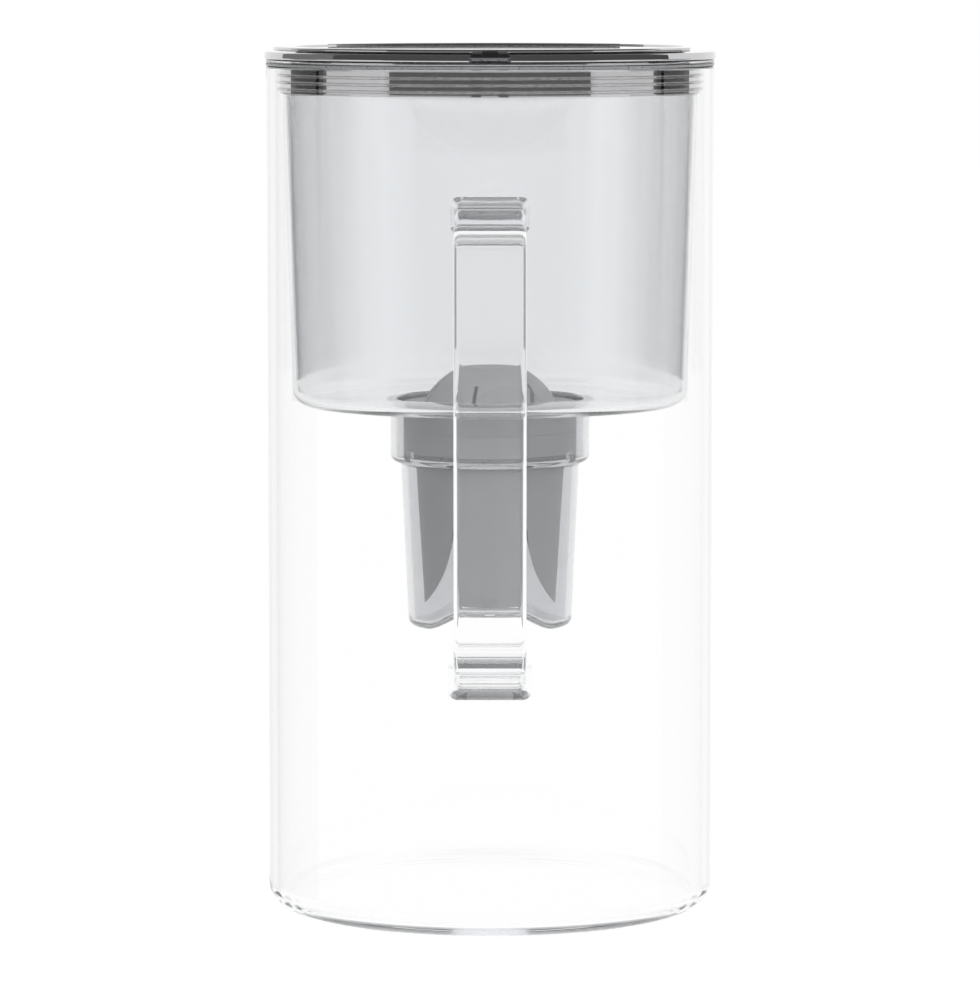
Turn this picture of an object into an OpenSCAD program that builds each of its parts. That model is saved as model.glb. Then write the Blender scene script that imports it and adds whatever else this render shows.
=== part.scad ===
// Water filter pitcher: a glass jar with a strap handle, a lift-out hopper with its filter cartridge,
// and a polished lid whose round cover swings open for filling.
// Millimetres. Z is up, the origin is the middle of the jar's base, and the handle is on the -Y side.

/* [Jar] */
// Outside diameter of the glass
jar_d = 140; // [125:1:160]
// Height of the glass from base to rim
jar_h = 264; // [245:1:300]
// Thickness of the glass wall
jar_wall = 3; // [2.4:0.1:4]
// Thickness of the glass base
jar_base = 3.5; // [2.5:0.1:8]
// Outside radius of the bottom edge
jar_corner = 7; // [5:0.5:14]
// Rounding of the rim's two edges
rim_round = 0.9; // [0.4:0.1:1]

/* [Pouring lip] */
// Radius of the lip at the rim
lip_r = 20; // [17:1:26]
// How far the lip stands out from the wall
lip_reach = 11; // [6:1:13]
// Height over which the lip swells out of the wall
lip_h = 28; // [25:1:60]

/* [Handle] */
// Width of the glass strap
strap_w = 21.4; // [14:0.2:28]
// Thickness of the glass strap
strap_t = 8; // [6:0.2:11]
// Rounding of the strap's long edges
strap_edge = 1.4; // [1:0.1:2.9]
// Space for the fingers between the wall and the strap
finger_gap = 40; // [28:1:50]
// Depth of the upper arm's middle line below the rim
arm_drop = 43.6; // [30:0.2:60]
// Length of the straight grip between the two bends
grip_len = 109.4; // [80:0.2:125]
// Bend radius of the strap's middle line
strap_bend = 11; // [8:0.5:18]
// Fall of the lower arm towards the jar, in degrees
arm_fall = 15; // [5:1:25]
// Spread of the upper root beyond the strap, each way
upper_spread = 1.5; // [0.5:0.1:3]
// Spread of the lower root beyond the strap, each way
lower_spread = 2.5; // [0.5:0.1:4]
// Length of each spreading root
root_len = 8; // [5:0.5:14]

/* [Hopper] */
// Depth of the hopper's underside below the rim
hopper_depth = 106; // [90:1:120]
// Thickness of the hopper wall
hopper_wall = 2.4; // [1.8:0.1:3]
// Thickness of the hopper floor
floor_t = 2.4; // [1.8:0.1:4]
// Draft of the hopper wall, in degrees
hopper_draft = 1.8; // [0.5:0.1:3]
// Outside radius of the hopper's bottom edge
hopper_corner = 5.5; // [4.5:0.5:9]
// Height of the neck that carries the band
neck_h = 8.5; // [8:0.1:14]
// Step from the neck out to the wall below it
neck_step = 0.7; // [0.4:0.1:0.9]
// Thickness of the hopper's flange
flange_t = 1.3; // [1:0.1:2.5]
// Half angle of the pouring gap in the flange, the band and the wipers
pour_half = 16; // [10:1:22]

/* [Neck band] */
// Thickness of the polished band around the hopper's neck
neck_band_t = 1.6; // [1.3:0.1:2]
// Number of wiper rings in the band
wiper_n = 3; // [1:1:3]
// Height of the lowest wiper's middle above the band's lower edge
wiper_start = 1.4; // [1:0.1:1.6]
// Distance from one wiper ring to the next
wiper_pitch = 2.1; // [1.6:0.1:2.3]
// Height of the wiper rings
wiper_h = 0.6; // [0.4:0.05:0.8]
// Depth of the wipers' grooves in the band
wiper_seat = 0.8; // [0.5:0.1:1]
// Reach of the wipers beyond the band
wiper_reach = 0.9; // [0.6:0.1:1.2]
// Width of the two notches in the band under the hinge
band_notch_w = 2.9; // [2:0.1:4]
// Thickness of the gasket on the jar's rim
rim_gasket_t = 0.8; // [0.5:0.1:1.2]

/* [Filter well] */
// Outside diameter of the collar
collar_d = 62.5; // [60:0.5:70]
// Height of the collar below the hopper
collar_h = 18; // [16:0.5:22]
// Radius of the collar's lower edge
collar_round = 2.5; // [1:0.1:3]
// Step from the collar in to the sleeve
sleeve_step = 3.25; // [2.8:0.05:3.6]
// Radius that the sleeve loses down to its feet
sleeve_taper = 2.4; // [1:0.1:2.8]
// Length of the sleeve below the collar
sleeve_len = 51.6; // [50:0.2:60]
// Thickness of the collar and sleeve walls
well_wall = 1.8; // [1.4:0.1:2.2]
// Half width of the arch between the sleeve's two feet
arch_half = 18.5; // [14:0.5:20]
// Rise of the arch between the feet
arch_rise = 5; // [3:0.5:7]
// Width of the drain slots in the arch
drain_w = 2.4; // [1.5:0.1:3]
// Length of the drain slots
drain_len = 20; // [10:1:26]
// Distance from one drain slot to the next
drain_pitch = 7.2; // [5:0.1:9]
// Width of the four locating lugs on the ledge
lug_w = 3; // [2:0.5:5]
// Height of the locating lugs
lug_h = 2.4; // [1.5:0.1:4]
// Turn of the locating lugs from the side, in degrees
lug_turn = 32; // [15:1:75]

/* [Cartridge] */
// Gap between the cartridge's ring and the collar
ring_gap = 2.25; // [1.8:0.05:2.4]
// Height of the shell's ring
ring_h = 7; // [5:0.5:8]
// Radius that the body stands in from the ring
body_step = 3.7; // [3:0.1:4.5]
// Radius that the body loses down to its feet
body_taper = 3; // [1:0.1:4]
// Gap under the cartridge's feet
foot_gap = 4.3; // [2:0.1:8]
// Thickness of the cartridge walls
cart_wall = 1.5; // [1.2:0.1:2]
// Half width of the outlet tongue between the two notches
tongue_half = 10.2; // [9.5:0.1:11]
// Height of the tongue's end above the feet
tongue_up = 2; // [1.5:0.5:6]
// Height of the notches above the feet
notch_h = 25.5; // [20:0.5:28]
// Rounding at the top of the notches
notch_tip = 0.6; // [0.4:0.1:1]
// Radius of the notches' flaring sides
notch_flare = 38; // [34:1:38]
// Radius of the outlet in the tongue's end
outlet_r = 6; // [4:0.5:6.5]
// Reach of the outlet screen beyond the outlet
screen_lap = 1.5; // [1:0.1:2]
// Height of the cap's skirt above the shell's ring
cap_h = 7.5; // [5:0.5:9]
// Reach of the cap's rim beyond its skirt
rim_reach = 1.2; // [0.6:0.1:1.4]
// Thickness of the cap's rim
rim_t = 1.5; // [1:0.1:2]
// Radius of the dome
dome_r = 23.5; // [22.5:0.1:25]
// Radius of the dome where it leaves the rim
dome_base_r = 20.8; // [18:0.1:22]
// Height of the dome's flat top above the rim
dome_h = 11; // [8:0.5:12]
// Distance from the middle to the dome's two finger flats
flat_in = 16.4; // [14:0.1:18]
// Turn of the finger flats from the handle side, in degrees
flat_turn = 20; // [0:1:45]
// Number of inlet slots in the dome
slot_n = 6; // [4:1:10]
// Width of the inlet slots
slot_w = 1.2; // [0.8:0.1:2]
// Height of the inlet slots
slot_h = 6; // [4:0.5:7]
// Turn of the first inlet slot from the handle side, in degrees
slot_turn = 46; // [0:1:59]
// Thickness of the cartridge's seal
cart_seal_t = 1.2; // [0.8:0.1:2]
// Thickness of the two screens
screen_t = 1; // [0.6:0.1:1.5]
// Thickness of the pad between the two beds
pad_t = 2; // [1:0.5:4]
// Height of the resin bed above the tongue's end
resin_h = 33; // [28:1:36]

/* [Lid] */
// Overhang of the lid beyond the glass
lid_over = 0.65; // [0:0.05:2]
// Thickness of the lid's flange
lid_t = 2.3; // [2.2:0.1:3.5]
// Thickness of the lid's skirt
skirt_t = 1; // [0.6:0.1:1.6]
// Depth of the skirt below the flange
skirt_h = 11; // [8:0.5:14]
// Rounding of the lid's edges
lid_round = 0.6; // [0.2:0.1:0.9]
// Distance from the lid's edge in to the cover's edge
cover_in = 2.9; // [2.9:0.1:4]
// Depth of the cover's straight finger edge, on the right of the handle
finger_in = 6.3; // [4:0.1:7]
// Thickness of the cover plate
plate_t = 1.2; // [1:0.1:2]
// Width of the cover plate's raised border
border_w = 7; // [4:0.5:12]
// Depth of the field inside the border
field_drop = 0.4; // [0.2:0.1:0.6]
// Depth of the liner below the cover plate
liner_h = 4; // [3.6:0.1:6]
// Thickness of the liner's walls
liner_wall = 1.4; // [1:0.1:2]
// Height of the cover gasket
gasket_h = 1.8; // [1.2:0.1:2]
// Depth of the groove that holds the gasket
groove_d = 1.3; // [1:0.1:1.4]

/* [Hinge] */
// Radius of the hinge knuckles
knuckle_r = 1.4; // [1.2:0.1:1.6]
// Radius of the hinge pin
pin_r = 0.7; // [0.5:0.05:0.8]
// Width of the cover's knuckle
cover_knuckle_w = 4.8; // [3:0.1:7]
// Width of each lid knuckle
lid_knuckle_w = 2.7; // [2:0.1:4]
// Length of the pin's end beyond each lid knuckle
pin_end = 0.6; // [0.3:0.1:1]

/* [Fits] */
// Gap between the wipers and the glass, and between pieces that slide past each other
slide_gap = 0.3; // [0.2:0.05:0.4]
// Gap between the lid's skirt and the hopper's neck
skirt_gap = 0.5; // [0.3:0.05:0.8]
// Gap between pieces that are fixed together
snug = 0.05; // [0.03:0.01:0.1]
// Gap between a hinge pin and its moving knuckle
pin_gap = 0.08; // [0.06:0.01:0.1]

/* [Hidden] */
$fn = 96;
glass = [0.86, 0.9, 0.92, 0.4];
clear_plastic = [0.8, 0.82, 0.83, 0.6];
silicone = [0.75, 0.77, 0.78, 0.8];
grey_plastic = [0.56, 0.57, 0.58];
steel = [0.62, 0.63, 0.64];
white_plastic = [0.9, 0.9, 0.88];
carbon = [0.12, 0.12, 0.13];
resin = [0.75, 0.6, 0.35];
fibre = [0.85, 0.85, 0.83];
// Length by which a cutting shape runs past what it cuts
past = 1;
// Overlap that fuses one length of the strap to the next
lap = 0.4;
// Jar
jar_r = jar_d / 2;
jar_in = jar_r - jar_wall;
lip_y = jar_r + lip_reach - lip_r;
lip_slope = (lip_reach + jar_wall / 2) / lip_h;
// Hopper, its band and its wipers, from the rim inwards
wiper_r = jar_in - slide_gap;
neck_band_r = wiper_r - wiper_reach;
neck_r = neck_band_r - neck_band_t - snug;
wall_top_r = neck_r + neck_step;
neck_in = wall_top_r - hopper_wall;
flange_z = jar_h + rim_gasket_t;
hopper_top = flange_z + flange_t;
neck_z = jar_h - neck_h;
wiper_z = neck_z + snug + wiper_start;
under_z = jar_h - hopper_depth;
floor_z = under_z + floor_t;
// Filter well
collar_r = collar_d / 2;
collar_in = collar_r - well_wall;
collar_z = under_z - collar_h;
ledge_z = collar_z + well_wall;
well_r = collar_r - sleeve_step;
foot_z = collar_z - sleeve_len;
arch_r = (arch_half * arch_half + arch_rise * arch_rise) / (2 * arch_rise);
arch_z = foot_z + arch_rise - arch_r;
// Cartridge
ring_r = collar_in - ring_gap;
ring_z = ledge_z + cart_seal_t;
ring_top = ring_z + ring_h;
body_r = ring_r - body_step;
cart_z = foot_z + well_wall + foot_gap;
body_len = ring_z - cart_z;
tongue_z = cart_z + tongue_up;
bed_z = tongue_z + cart_wall;
outlet_screen_r = outlet_r + screen_lap;
resin_top = bed_z + resin_h;
pad_top = resin_top + pad_t + snug;
cap_z = ring_top + cap_h;
rim_top = cap_z + rim_t;
dome_z = rim_top - sqrt(dome_r * dome_r - dome_base_r * dome_base_r);
screen_z = ring_top - cart_wall - screen_t;
// Lid, cover and hinge
lid_r = jar_r + lid_over;
lid_top = hopper_top + lid_t;
skirt_r = neck_in - skirt_gap;
open_r = skirt_r - skirt_t;
skirt_z = hopper_top - skirt_h;
cover_r = lid_r - cover_in;
cover_z = lid_top + slide_gap;
cover_top = cover_z + plate_t;
liner_r = open_r - 2 * slide_gap;
gasket_r = open_r - slide_gap;
gasket_z = cover_z - liner_h + (liner_h - gasket_h) / 2;
hinge_y = -(lid_r - knuckle_r);
hinge_z = hopper_top + knuckle_r + snug;
knuckle_x = cover_knuckle_w / 2 + slide_gap;
notch_x = knuckle_x + lid_knuckle_w / 2;
notch_half = knuckle_x + lid_knuckle_w + pin_end + slide_gap;
notch_y = hinge_y + knuckle_r + slide_gap + lid_round;

// Points along an arc about a centre, from one angle to another
function arc(cx, cy, r, a0, a1, n = 8) =
    [for (i = [0:n]) let (a = a0 + (a1 - a0) * i / n) [cx + r * cos(a), cy + r * sin(a)]];

// Radius of the hopper's outside at a height
function hopper_r(z) = wall_top_r - (neck_z - z) * tan(hopper_draft);

// A rounded corner between a floor at height z and the hopper's wall, moved in by inset
function hopper_edge(z, round, inset, a0, a1) =
    arc(hopper_r(z + round) - inset - round / cos(hopper_draft), z + round, round, a0, a1);

// Outside radius of the well's sleeve and of the cartridge's body at a height
function well_sleeve_r(z) = well_r - sleeve_taper * (collar_z - z) / sleeve_len;
function body_at(z) = body_r - body_taper * (ring_z - z) / body_len;

// Corners of a rectangle with rounded corners, centred on the origin
function rounded(w, h, r) = [for (c = [[1, 1, 0], [-1, 1, 90], [-1, -1, 180], [1, -1, 270]])
    each arc(c[0] * (w / 2 - r), c[1] * (h / 2 - r), r, c[2], c[2] + 90, 6)];

// Upright ring or disc between two heights
module band(r, inner, z0, z1) {
    translate([0, 0, z0])
        difference() {
            cylinder(r = r, h = z1 - z0);
            if (inner > 0)
                translate([0, 0, -past]) cylinder(r = inner, h = z1 - z0 + 2 * past);
        }
}

// Half section of a straight cup with a rounded bottom edge
module cup_half(r, h, corner) {
    translate([0, corner]) square([r, h - corner]);
    square([r - corner, h]);
    translate([r - corner, corner]) circle(corner);
}

// Wedge that clears the pouring gap outside a radius
module pour_gap(r, z0, z1) {
    reach = jar_r + lip_reach;
    side = reach * tan(pour_half);
    difference() {
        translate([0, 0, z0])
            linear_extrude(z1 - z0) polygon([[0, 0], [side, reach], [-side, reach]]);
        translate([0, 0, z0 - past]) cylinder(r = r, h = z1 - z0 + 2 * past);
    }
}

// Cone of the pouring lip, smaller by inset and running past the rim by over
module lip_cone(inset, over) {
    r_low = lip_r - lip_slope * lip_h - inset;
    translate([0, lip_y, jar_h - lip_h])
        cylinder(r1 = r_low, r2 = lip_r - inset + lip_slope * over, h = lip_h + over);
}

module glass_jar() {
    inner_corner = max(jar_corner - jar_wall, past);
    color(glass)
        difference() {
            union() {
                rotate_extrude() difference() {
                    cup_half(jar_r, jar_h, jar_corner);
                    rim_edge(jar_r, 1);
                }
                lip_cone(0, 0);
            }
            translate([0, 0, jar_base])
                rotate_extrude() cup_half(jar_in, jar_h - jar_base + past, inner_corner);
            rotate_extrude() rim_edge(jar_in, -1);
            lip_cone(jar_wall, past);
        }
}

// What the rounding takes off a rim edge at radius r, on its outer (1) or inner (-1) side
module rim_edge(r, side) {
    difference() {
        translate([r - (side > 0 ? rim_round : past), jar_h - rim_round])
            square([rim_round + past, rim_round + past]);
        translate([r - side * rim_round, jar_h - rim_round]) circle(rim_round);
    }
}

// Strap of the handle, cut lengthwise: its section lies in X and Y
module strap(length) {
    linear_extrude(length) polygon(rounded(strap_w, strap_t, strap_edge));
}

// Quarter or part bend of the strap about the X axis, starting down the grip and turning to +Y
module strap_turn(angle) {
    rotate([90, 0, 90])
        rotate([0, 0, 180])
            rotate_extrude(angle = angle)
                translate([strap_bend, 0]) polygon(rounded(strap_t, strap_w, strap_edge));
}

// Root that widens from the strap to the jar, with its wide end at the origin and the strap towards -Z
module root(spread) {
    hull() {
        translate([0, 0, -root_len])
            linear_extrude(snug) polygon(rounded(strap_w, strap_t, strap_edge));
        linear_extrude(root_len)
            polygon(rounded(strap_w + 2 * spread, strap_t + 2 * spread, strap_edge + spread));
    }
}

module glass_handle() {
    strap_y = -(jar_r + finger_gap + strap_t / 2);
    arm_z = jar_h - arm_drop;
    grip_top = arm_z - strap_bend;
    grip_end = grip_top - grip_len;
    bend_y = strap_y + strap_bend;
    turn = 90 - arm_fall;
    end_y = bend_y - strap_bend * cos(turn);
    end_z = grip_end - strap_bend * sin(turn);
    fall_len = (-jar_r - end_y) / cos(arm_fall);
    color(glass)
        difference() {
            union() {
                translate([0, strap_y, grip_end]) strap(grip_len);
                translate([0, bend_y, grip_top]) mirror([0, 0, 1]) strap_turn(90);
                translate([0, bend_y, grip_end]) strap_turn(turn);
                translate([0, bend_y, arm_z]) rotate([-90, 0, 0]) {
                    strap(-jar_r - bend_y);
                    translate([0, 0, -jar_r - bend_y]) root(upper_spread);
                }
                translate([0, end_y, end_z]) rotate([-90 - arm_fall, 0, 0]) {
                    translate([0, 0, -lap]) strap(fall_len + lap);
                    translate([0, 0, fall_len]) root(lower_spread);
                }
            }
            cylinder(r = jar_r, h = jar_h);
        }
}

module hopper_bowl() {
    inner_round = hopper_corner - floor_t;
    section = concat(
        [[collar_in, under_z]],
        hopper_edge(under_z, hopper_corner, 0, -90, -hopper_draft),
        [[wall_top_r, neck_z], [neck_r, neck_z], [neck_r, flange_z],
         [jar_r, flange_z], [jar_r, hopper_top], [neck_in, hopper_top], [neck_in, neck_z]],
        hopper_edge(floor_z, inner_round, hopper_wall, -hopper_draft, -90),
        [[collar_in, floor_z]]);
    color(clear_plastic)
        difference() {
            rotate_extrude() polygon(section);
            pour_gap(neck_r, flange_z - past, hopper_top + past);
        }
}

module rim_gasket() {
    color(silicone)
        difference() {
            band(jar_r, neck_r + snug, jar_h, flange_z);
            pour_gap(0, jar_h - past, flange_z + past);
        }
}

module neck_band() {
    color(steel)
        difference() {
            band(neck_band_r, neck_r + snug, neck_z + snug, jar_h - snug);
            for (i = [0:wiper_n - 1])
                translate([0, 0, wiper_z + i * wiper_pitch])
                    band(jar_r, neck_band_r - wiper_seat, -wiper_h / 2 - snug, wiper_h / 2 + snug);
            for (x = [-1, 1])
                translate([x * notch_x - band_notch_w / 2, -jar_r, neck_z])
                    cube([band_notch_w, jar_r - neck_band_r + wiper_seat, neck_h]);
            pour_gap(0, neck_z - past, jar_h + past);
        }
}

// Soft ring in one of the neck band's grooves, counted from the lowest
module wiper(i) {
    z = wiper_z + i * wiper_pitch;
    tip = wiper_h / 2;
    inner = neck_band_r - wiper_seat + snug;
    color(silicone)
        difference() {
            rotate_extrude()
                polygon(concat([[inner, z - tip]],
                               arc(wiper_r - tip, z, tip, -90, 90, 6),
                               [[inner, z + tip]]));
            pour_gap(0, neck_z, jar_h);
        }
}

module wiper_low() {
    wiper(0);
}

module wiper_mid() {
    wiper(1);
}

module wiper_top() {
    wiper(2);
}

// Arch between the sleeve's feet, larger by grow
module arch(grow) {
    translate([0, 0, arch_z])
        rotate([90, 0, 0]) cylinder(r = arch_r + grow, h = collar_d, center = true);
}

module well_sleeve() {
    outside = concat(
        [[0, foot_z]],
        arc(well_sleeve_r(foot_z) - well_wall, foot_z + well_wall, well_wall, -90, 0, 4),
        [[well_r, collar_z]],
        arc(collar_r - collar_round, collar_z + collar_round, collar_round, -90, 0),
        [[collar_r, under_z], [0, under_z]]);
    inside = [
        [0, foot_z + well_wall], [well_sleeve_r(foot_z) - well_wall, foot_z + well_wall],
        [well_r - well_wall, ledge_z], [collar_in, ledge_z],
        [collar_in, under_z + past], [0, under_z + past]];
    lug_r = ring_r + slide_gap + rim_reach / 2;
    color(clear_plastic) {
        difference() {
            rotate_extrude() polygon(outside);
            arch(0);
            difference() {
                rotate_extrude() polygon(inside);
                arch(well_wall);
            }
            for (x = [-1, 0, 1])
                translate([x * drain_pitch - drain_w / 2, -drain_len / 2, foot_z])
                    cube([drain_w, drain_len, arch_rise + 2 * well_wall]);
        }
        for (a = [lug_turn, 180 - lug_turn, 180 + lug_turn, -lug_turn])
            rotate([0, 0, a])
                intersection() {
                    band(collar_in + snug, lug_r, ledge_z, ledge_z + lug_h);
                    translate([0, -lug_w / 2, ledge_z - past]) cube([collar_r, lug_w, lug_h + 2 * past]);
                }
    }
}

// Two flaring notches beside the cartridge's outlet tongue, larger by grow
module notches(grow) {
    top = cart_z + notch_h;
    tip = notch_tip + grow;
    flare = notch_flare - grow;
    flare_x = tongue_half + 2 * notch_tip + notch_flare;
    flare_turn = asin((notch_h + past) / flare);
    outline = concat(
        [[tongue_half - grow, cart_z - past]],
        arc(tongue_half + notch_tip, top, tip, 180, 0),
        arc(flare_x, top, flare, 180, 180 + flare_turn));
    for (side = [0, 1])
        mirror([side, 0, 0])
            rotate([90, 0, 0]) linear_extrude(2 * ring_r, center = true) polygon(outline);
}

// What the tongue's end stands short of the feet, larger by grow
module tongue_end(grow) {
    half = tongue_half + notch_tip;
    translate([-half, -ring_r, cart_z - past])
        cube([2 * half, 2 * ring_r, tongue_up + grow + past]);
}

// Room inside the cartridge's shell, smaller by inset
module bed_room(inset) {
    wall = cart_wall + inset;
    difference() {
        rotate_extrude()
            polygon([[0, cart_z + wall], [body_at(cart_z) - wall, cart_z + wall],
                     [body_r - wall, ring_z], [body_r - wall, ring_top + past], [0, ring_top + past]]);
        notches(wall);
        tongue_end(wall);
    }
}

module cartridge_shell() {
    outside = [
        [0, cart_z], [body_at(cart_z), cart_z], [body_r, ring_z], [ring_r, ring_z],
        [ring_r, ring_top], [0, ring_top]];
    color(grey_plastic)
        difference() {
            rotate_extrude() polygon(outside);
            notches(0);
            tongue_end(0);
            bed_room(0);
            translate([0, 0, tongue_z - past]) cylinder(r = outlet_r, h = cart_wall + 2 * past);
        }
}

// Dome of the cap up to a height, smaller by inset, between its two finger flats
module dome(inset, top) {
    half = flat_in - inset;
    intersection() {
        translate([0, 0, dome_z]) sphere(dome_r - inset);
        rotate([0, 0, flat_turn])
            translate([-dome_r, -half, cap_z]) cube([2 * dome_r, 2 * half, top - cap_z]);
    }
}

module cartridge_dome() {
    rim_r = ring_r + rim_reach;
    dome_top = rim_top + dome_h;
    spigot_r = body_r - cart_wall - snug;
    color(grey_plastic)
        difference() {
            union() {
                band(ring_r, ring_r - cart_wall, ring_top, cap_z);
                band(rim_r, 0, cap_z, rim_top);
                band(ring_r, spigot_r - cart_wall, ring_top, ring_top + cart_wall);
                band(spigot_r, spigot_r - cart_wall, screen_z + screen_t, ring_top + cart_wall);
                dome(0, dome_top);
            }
            dome(cart_wall, dome_top - cart_wall);
            for (i = [0:slot_n - 1])
                rotate([0, 0, slot_turn - 90 + i * 360 / slot_n])
                    translate([0, -slot_w / 2, rim_top]) cube([dome_r, slot_w, slot_h]);
        }
}

module cartridge_seal() {
    color(silicone) band(ring_r, body_r + snug, ledge_z, ring_z);
}

module inlet_screen() {
    color(fibre) band(body_r - cart_wall - snug, 0, screen_z, screen_z + screen_t - snug);
}

// Slice of the room inside the cartridge's shell between two heights
module bed(z0, z1) {
    intersection() {
        bed_room(snug);
        translate([0, 0, z0]) cylinder(r = ring_r, h = z1 - z0);
    }
}

module carbon_bed() {
    color(carbon) bed(pad_top + snug, screen_z - snug);
}

module separator_pad() {
    color(fibre) bed(resin_top + snug, pad_top);
}

module resin_bed() {
    color(resin)
        difference() {
            bed(cart_z, resin_top);
            translate([0, 0, bed_z]) cylinder(r = outlet_screen_r + snug, h = screen_t + snug);
        }
}

module outlet_screen() {
    color(fibre) band(outlet_screen_r, 0, bed_z, bed_z + screen_t);
}

module lid_ring() {
    section = concat(
        [[open_r, skirt_z], [skirt_r, skirt_z], [skirt_r, hopper_top]],
        arc(lid_r - lid_round, hopper_top + lid_round, lid_round, -90, 0, 5),
        arc(lid_r - lid_round, lid_top - lid_round, lid_round, 0, 90, 5),
        arc(open_r + lid_round, lid_top - lid_round, lid_round, 90, 180, 5));
    color(steel)
        difference() {
            rotate_extrude() polygon(section);
            translate([-notch_half, -lid_r - past, hopper_top - past])
                cube([2 * notch_half, lid_r + past + notch_y, lid_t + 2 * past]);
        }
}

// Hinge knuckle on the hinge's axis, from one end to another
module knuckle(x0, x1, r) {
    translate([x0, hinge_y, hinge_z]) rotate([0, 90, 0]) cylinder(r = r, h = x1 - x0);
}

module hinge_bracket() {
    web_y = hinge_y + knuckle_r + slide_gap;
    edge = knuckle_x + lid_knuckle_w;
    color(steel)
        difference() {
            union() {
                for (x = [-edge, knuckle_x]) {
                    knuckle(x, x + lid_knuckle_w, knuckle_r);
                    translate([x, hinge_y, hopper_top + snug])
                        cube([lid_knuckle_w, notch_y - hinge_y, knuckle_r + snug]);
                }
                translate([-edge, web_y, hopper_top + snug])
                    cube([2 * edge, notch_y - web_y, knuckle_r]);
            }
            knuckle(-edge - past, edge + past, pin_r + snug);
        }
}

module hinge_pin() {
    edge = knuckle_x + lid_knuckle_w + pin_end;
    color(steel) knuckle(-edge, edge, pin_r);
}

module cover_plate() {
    seat_y = -cover_r + lid_round;
    section = concat(
        [[0, cover_z]],
        arc(cover_r - plate_t / 2, cover_z + plate_t / 2, plate_t / 2, -90, 90, 8),
        [[cover_r - border_w, cover_top], [cover_r - border_w - field_drop, cover_top - field_drop],
         [0, cover_top - field_drop]]);
    color(steel)
        difference() {
            rotate_extrude() polygon(section);
            translate([-cover_knuckle_w / 2 - snug, -lid_r, cover_z - past])
                cube([cover_knuckle_w + 2 * snug, lid_r + seat_y, plate_t + 2 * past]);
            translate([cover_r - finger_in, -cover_r, cover_z - past])
                cube([finger_in + past, 2 * cover_r, plate_t + 2 * past]);
        }
}

module cover_hinge() {
    half = cover_knuckle_w / 2;
    seat_y = -cover_r + lid_round;
    color(steel)
        difference() {
            union() {
                knuckle(-half, half, knuckle_r);
                translate([-half, hinge_y, cover_z])
                    cube([cover_knuckle_w, seat_y - hinge_y, plate_t - field_drop]);
                translate([-half, hinge_y - knuckle_r / 2, hinge_z])
                    cube([cover_knuckle_w, knuckle_r, cover_z + plate_t - field_drop - hinge_z]);
            }
            knuckle(-half - past, half + past, pin_r + pin_gap);
        }
}

module cover_liner() {
    low = cover_z - liner_h;
    color(white_plastic)
        difference() {
            band(liner_r, 0, low, cover_z);
            band(liner_r - groove_d - liner_wall, 0, low - past, cover_z - liner_wall);
            band(liner_r + past, liner_r - groove_d, gasket_z, gasket_z + gasket_h);
        }
}

module cover_gasket() {
    inner = liner_r - groove_d + snug;
    bead = (gasket_h - 2 * snug) / 2;
    color(silicone)
        rotate_extrude()
            polygon(concat([[inner, gasket_z + snug]],
                           arc(gasket_r - bead, gasket_z + snug + bead, bead, -90, 90, 8),
                           [[inner, gasket_z + gasket_h - snug]]));
}

glass_jar();
glass_handle();
hopper_bowl();
rim_gasket();
neck_band();
wiper_low();
wiper_mid();
wiper_top();
well_sleeve();
cartridge_shell();
cartridge_dome();
cartridge_seal();
inlet_screen();
carbon_bed();
separator_pad();
resin_bed();
outlet_screen();
lid_ring();
hinge_bracket();
hinge_pin();
cover_plate();
cover_hinge();
cover_liner();
cover_gasket();
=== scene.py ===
"""Looks of the water filter pitcher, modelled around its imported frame.

Sizes of the pitcher are in millimetres and are multiplied by MM. Sizes of the studio are in metres.
"""
import math

import bpy
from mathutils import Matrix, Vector


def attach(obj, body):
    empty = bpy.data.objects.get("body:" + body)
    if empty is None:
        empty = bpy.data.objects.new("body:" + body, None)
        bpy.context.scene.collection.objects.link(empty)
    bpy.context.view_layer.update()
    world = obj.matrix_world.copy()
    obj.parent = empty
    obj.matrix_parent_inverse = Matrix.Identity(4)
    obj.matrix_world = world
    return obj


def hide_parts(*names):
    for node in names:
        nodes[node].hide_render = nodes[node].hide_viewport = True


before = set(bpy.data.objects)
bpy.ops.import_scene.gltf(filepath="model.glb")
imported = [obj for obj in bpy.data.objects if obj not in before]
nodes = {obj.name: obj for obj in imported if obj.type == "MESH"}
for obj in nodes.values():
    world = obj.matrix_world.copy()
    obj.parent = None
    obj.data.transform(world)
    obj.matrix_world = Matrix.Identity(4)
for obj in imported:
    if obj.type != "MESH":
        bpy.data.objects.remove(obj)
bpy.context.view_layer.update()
scene = bpy.context.scene

MM = 0.001
MERGE = 0.002 * MM
FULL = 360
# Facets around a whole turn, facets in a rounded corner, longest straight run of a section
TURNS = 192
ROUND = 6
RUN = 5.0
SOFT_ANGLE = math.radians(32)
FRONT = -90
ACROSS = Vector((1, 0, 0))
# Room between two pieces that are seated in each other, and how far a carving tool overshoots
SEAT = 0.05
OVER = 1.0

# Glass jar
JAR_R = 70.0
JAR_IN = 67.0
JAR_H = 264.0
BASE_T = 3.5
BASE_ROUND = 7.0
BASE_IN_ROUND = 4.0
RIM_ROUND = 0.9
LIP_REACH = 10.9
LIP_SPREAD = 27.0
LIP_HALF = 7.0
LIP_TOP = 1.2
# Glass strap handle
STRAP_W = 21.4
STRAP_T = 8.0
STRAP_EDGE = 1.4
WALL_Y = -68.5
ARM_Z = 220.4
BEND_Y = -103.0
BEND_R = 11.0
GRIP_LEN = 109.4
ARM_FALL = 15
UPPER_SPREAD = 1.5
LOWER_SPREAD = 2.2
ROOT_LEN = 8.0
ROOT_STEPS = 5
BEND_STEPS = 16
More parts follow.
